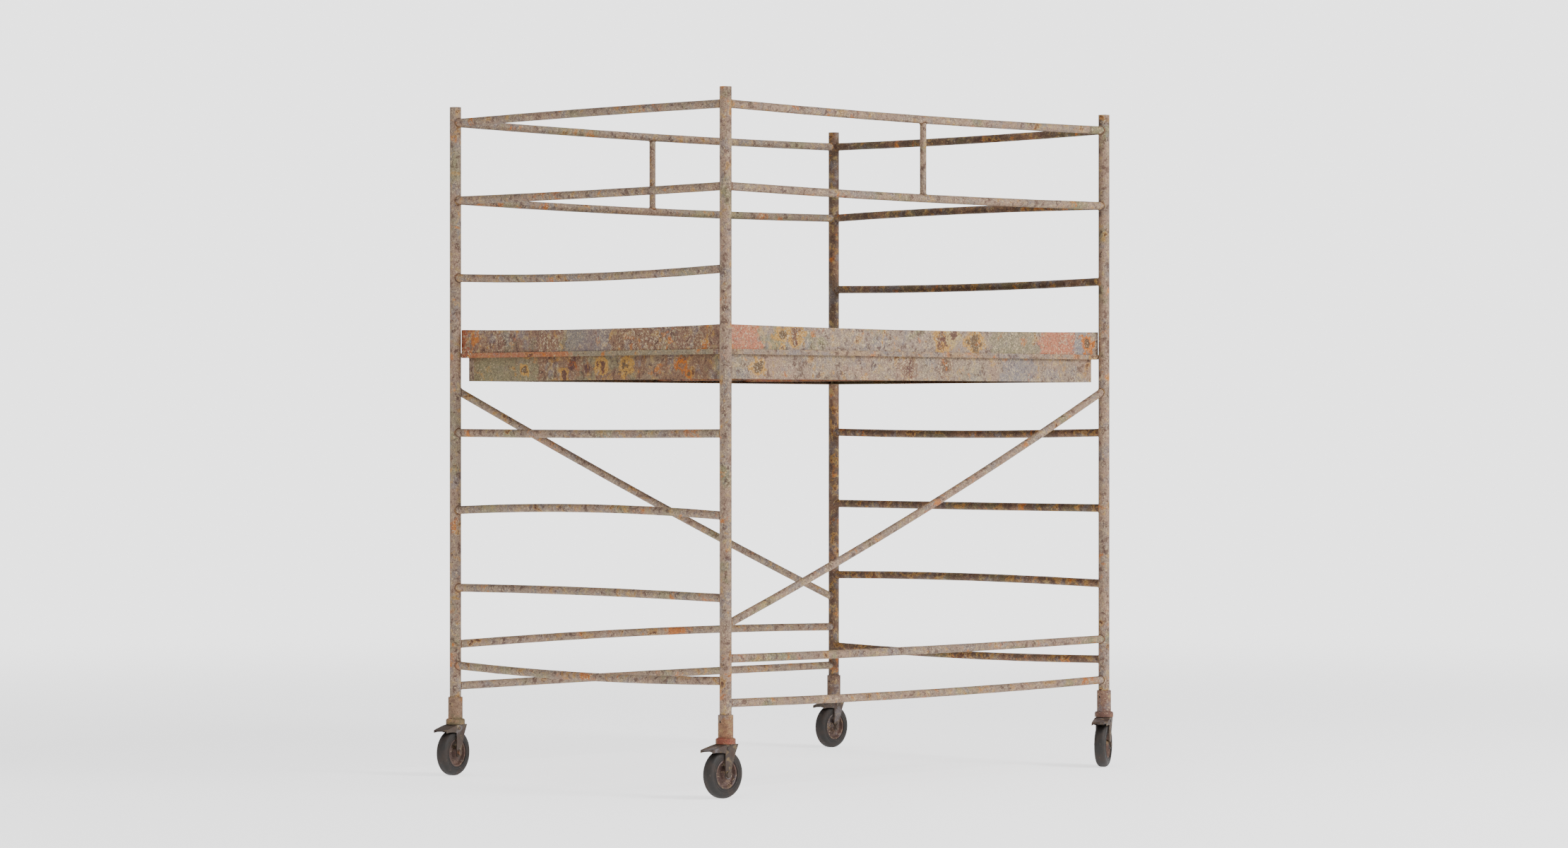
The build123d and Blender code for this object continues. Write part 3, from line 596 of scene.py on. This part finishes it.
def bead_tree():
    g = Growth("weld_beads", **{"Pitch": BEAD_PITCH, "Bead Radius": BEAD_R})
    curve = g.node("GeometryNodeMeshToCurve", {0: g.given["Geometry"]}).outputs[0]
    walked = g.node("GeometryNodeResampleCurve", {"Curve": curve, "Length": g.given["Pitch"]}, mode="LENGTH")
    ball = g.node("GeometryNodeMeshUVSphere", {"Segments": 7, "Rings": 4, "Radius": g.given["Bead Radius"]})
    # sockets 2 and 3 of a random value are the lowest and highest plain number, and output 1 is the result
    vary = g.node("FunctionNodeRandomValue", {2: SMALLEST, 3: BIGGEST, "Seed": 11}, data_type="FLOAT")
    beads = g.node("GeometryNodeInstanceOnPoints", {
        "Points": walked.outputs[0], "Instance": ball.outputs["Mesh"], "Scale": vary.outputs[1]})
    g.close(beads.outputs[0])
    return g


def loops_mesh(name, loops):
    """A wire mesh of closed loops."""
    points, edges = [], []
    for loop in loops:
        first = len(points)
        points += loop
        edges += [(first + i, first + (i + 1) % len(loop)) for i in range(len(loop))]
    mesh = bpy.data.meshes.new(name)
    mesh.from_pydata([tuple(p) for p in points], edges, [])
    return mesh


weld_tones = (paint(126, 104, 90), BROWN, paint(142, 112, 84))
weld_metal = weathered("weld_metal", weld_tones, 0.4, 0.2, 0.3, 4.9)
welds = bead_tree().grow("tower_welds", loops_mesh("tower_seams", seams), weld_metal)
welds.data.shade_smooth()
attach(welds, "tower")

# %% [markdown]
# The deck planks have rows of small raised grips, pressed up from below so boots don't slip. They
# repeat nearly a thousand times in straight rows, one more job for Geometry Nodes: a grid of points
# on one plank, the same grid on every plank, and a flat dome on each point.

# %% Grips on the planks
GRIP_R, GRIP_RISE = 0.0055, 0.0011
GRIP_SIDES = 12
GRIP_RINGS = ((1.0, -0.1), (0.8, 0.7), (0.4, 1.0))  # each ring's share of the radius and of the rise
PLANKS, ROWS, COLUMNS = 6, 4, 40
PLANK_GAP = 0.002
GRIP_MARGIN = 0.04  # bare metal at each end of a plank
GRIP_WIDTH = 0.72  # the share of a plank's width that the rows take up


def grip_dome():
    """A low dome, open underneath where it sits on the plank."""
    turns = [2 * math.pi * i / GRIP_SIDES for i in range(GRIP_SIDES)]
    points = [(GRIP_R * share * math.cos(turn), GRIP_R * share * math.sin(turn), GRIP_RISE * rise)
              for share, rise in GRIP_RINGS for turn in turns]
    top = (len(GRIP_RINGS) - 1) * GRIP_SIDES
    faces = []
    for low in range(0, top, GRIP_SIDES):
        for i in range(GRIP_SIDES):
            j = (i + 1) % GRIP_SIDES
            faces.append((low + i, low + j, low + GRIP_SIDES + j, low + GRIP_SIDES + i))
    faces.append(tuple(range(top, top + GRIP_SIDES)))
    mesh = bpy.data.meshes.new("grip")
    mesh.from_pydata(points, [], faces)
    return mesh


def grip_tree():
    low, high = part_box("deck_planks")
    pitch = (high.y - low.y + PLANK_GAP) / PLANKS
    g = Growth("deck_grips", **{
        "Length": high.x - low.x - 2 * GRIP_MARGIN, "Width": pitch * GRIP_WIDTH, "Plank Pitch": pitch})
    grid = g.node("GeometryNodeMeshGrid", {
        "Size X": g.given["Length"], "Size Y": g.given["Width"], "Vertices X": COLUMNS, "Vertices Y": ROWS})
    one = g.node("GeometryNodeInstanceOnPoints", {
        "Points": grid.outputs[0], "Instance": g.given["Geometry"]}).outputs[0]
    step = g.node("ShaderNodeCombineXYZ", {"Y": g.given["Plank Pitch"]}).outputs[0]
    half = g.node("ShaderNodeMath", {0: g.given["Plank Pitch"], 1: -(PLANKS - 1) / 2}, operation="MULTIPLY")
    start = g.node("ShaderNodeCombineXYZ", {"Y": half.outputs[0]}).outputs[0]
    row = g.node("GeometryNodeMeshLine", {"Count": PLANKS, "Start Location": start, "Offset": step})
    every = g.node("GeometryNodeInstanceOnPoints", {"Points": row.outputs[0], "Instance": one}).outputs[0]
    center = ((low.x + high.x) / 2, (low.y + high.y) / 2, high.z)
    placed = g.node("GeometryNodeTransform", {"Geometry": every, "Translation": center}).outputs[0]
    g.close(placed)
    return g


grip_tones = (paint(150, 134, 120), paint(140, 120, 104), PINKISH)
worn = weathered("worn_grips", grip_tones, 0.3, 0.1, 0.3, 1.7)
grips = grip_tree().grow("deck_grips", grip_dome(), worn)
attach(grips, "platform")

# %% [markdown]
# Moulded tyres carry thin raised rings on both sidewalls. They are built here point by point: the
# tyre's own box gives the middle, and the wheel's joint gives the direction of the axle.

# %% Rings on the tyres
RING_RADII = (0.0585, 0.0665)
RING_R, RING_FLATNESS = 0.0011, 0.7
RING_STEPS, RING_SIDES = 72, 6
SIDEWALL = 0.0222  # half the tyre's width, less the part of a ring that is sunk in the rubber
axles = {joint["name"]: Vector(joint["axis"]) for joint in frame["joints"]}


def ring_points(hub, axle, radius, face):
    """The points of one ring, on the tyre's face that looks along face times the axle."""
    ahead = axle.cross(UP).normalized()
    points = []
    for step in range(RING_STEPS):
        turn = 2 * math.pi * step / RING_STEPS
        out = math.cos(turn) * ahead + math.sin(turn) * UP
        for side in range(RING_SIDES):
            lean = 2 * math.pi * side / RING_SIDES
            points.append(hub + out * (radius + RING_R * math.cos(lean))
                          + axle * (face * SIDEWALL + RING_R * RING_FLATNESS * math.sin(lean)))
    return points


def ring_faces(first):
    """The four-sided faces of one ring whose points start at this number."""
    faces = []
    for step in range(RING_STEPS):
        here, ahead = first + step * RING_SIDES, first + (step + 1) % RING_STEPS * RING_SIDES
        for k in range(RING_SIDES):
            n = (k + 1) % RING_SIDES
            faces.append((here + k, here + n, ahead + n, ahead + k))
    return faces


def tyre_rings(corner):
    hub, axle = middle(f"tyre_{corner}"), axles[f"wheel_spin_{corner}"].normalized()
    points, faces = [], []
    for face in (-1, 1):
        for radius in RING_RADII:
            faces += ring_faces(len(points))
            points += ring_points(hub, axle, radius, face)
    mesh = bpy.data.meshes.new(f"tyre_rings_{corner}")
    mesh.from_pydata([tuple(p) for p in points], [], faces)
    mesh.materials.append(rubber)
    shape = bmesh.new()
    shape.from_mesh(mesh)
    bmesh.ops.recalc_face_normals(shape, faces=shape.faces)
    shape.to_mesh(mesh)
    shape.free()
    mesh.shade_smooth()
    rings = bpy.data.objects.new(mesh.name, mesh)
    bpy.context.scene.collection.objects.link(rings)
    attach(rings, f"wheel_{corner}")
    return rings


for corner in CORNERS:
    print(tyre_rings(corner).name, "ready")

# %% [markdown]
# A studio floor has no edge: it runs into the background. Here a wide disc is matt near the tower,
# where it takes the soft shadows, and turns into the background's own light further out, so the
# horizon can't be seen from any side. The camera is shown a brighter background than the one that
# lights the tower, which is what a photographer does by lighting the backdrop separately.

# %% Floor and background
BACKDROP = (0.92, 0.92, 0.925, 1.0)
BACKDROP_LIGHT = 3.0
ROOM_LIGHT = 0.75
FLOOR_R = 80.0
FLOOR_LIFT = 1.4  # light added to the floor as the camera sees it
BOUNCE = 0.75  # light that the floor gives the tower
MATT_R, EDGE_R = 3.5, 12.0  # the floor is matt inside the first, and all background past the second


def studio_floor():
    bpy.ops.mesh.primitive_circle_add(vertices=96, radius=FLOOR_R, fill_type="NGON")
    floor = bpy.context.object
    floor.name = "floor"
    f = Finish("studio_floor")
    f.shade(color=(0.95, 0.95, 0.955, 1.0), rough=0.9, gloss=0.1)
    seen = f.node("ShaderNodeLightPath").outputs["Is Camera Ray"]
    away = f.node("ShaderNodeVectorMath", {0: f.place}, operation="LENGTH").outputs["Value"]
    full = f.node("ShaderNodeMix", {0: seen, 2: ROOM_LIGHT, 3: BACKDROP_LIGHT}).outputs[0]
    glow = f.node("ShaderNodeEmission", {"Color": BACKDROP, "Strength": full}).outputs[0]
    extra = f.node("ShaderNodeMix", {0: seen, 2: BOUNCE, 3: FLOOR_LIFT}).outputs[0]
    lift = f.node("ShaderNodeEmission", {"Color": BACKDROP, "Strength": extra}).outputs[0]
    matt = f.node("ShaderNodeAddShader", {0: f.shader.outputs[0], 1: lift}).outputs[0]
    both = f.node("ShaderNodeMixShader", {0: f.between(away, MATT_R, EDGE_R), 1: matt, 2: glow})
    f.feed(f.tree.nodes["Material Output"].inputs["Surface"], both.outputs[0])
    floor.data.materials.append(f.material)


def studio_world():
    world = bpy.data.worlds.new("studio")
    world.use_nodes = True
    w = NodeTree(world.node_tree)
    seen = w.node("ShaderNodeLightPath").outputs["Is Camera Ray"]
    level = w.node("ShaderNodeMix", {0: seen, 2: ROOM_LIGHT, 3: BACKDROP_LIGHT}).outputs[0]
    background = w.tree.nodes["Background"]
    w.feed(background.inputs["Strength"], level)
    w.feed(background.inputs["Color"], BACKDROP)
    bpy.context.scene.world = world


studio_floor()
studio_world()

# %% [markdown]
# Soft light comes from large lamps. The key light stands to the right of the camera, so the long
# side is brighter than the ladder end and the wheels' shadows fall to the left.

# %% Lamps
def softbox(name, place, target, width, power):
    lamp = bpy.data.objects.new(name, bpy.data.lights.new(name, "AREA"))
    lamp.data.shape = "SQUARE"
    lamp.data.size = width
    lamp.data.energy = power
    lamp.location = place
    lamp.rotation_euler = (Vector(target) - Vector(place)).to_track_quat("-Z", "Y").to_euler()
    bpy.context.scene.collection.objects.link(lamp)


CHEST = (bay.x, bay.y, 1.2)
softbox("key", (bay.x + 3.0, bay.y - 9.0, 6.5), CHEST, 3.4, 940)
softbox("fill", (bay.x - 9.0, bay.y - 2.0, 5.0), CHEST, 6.0, 200)
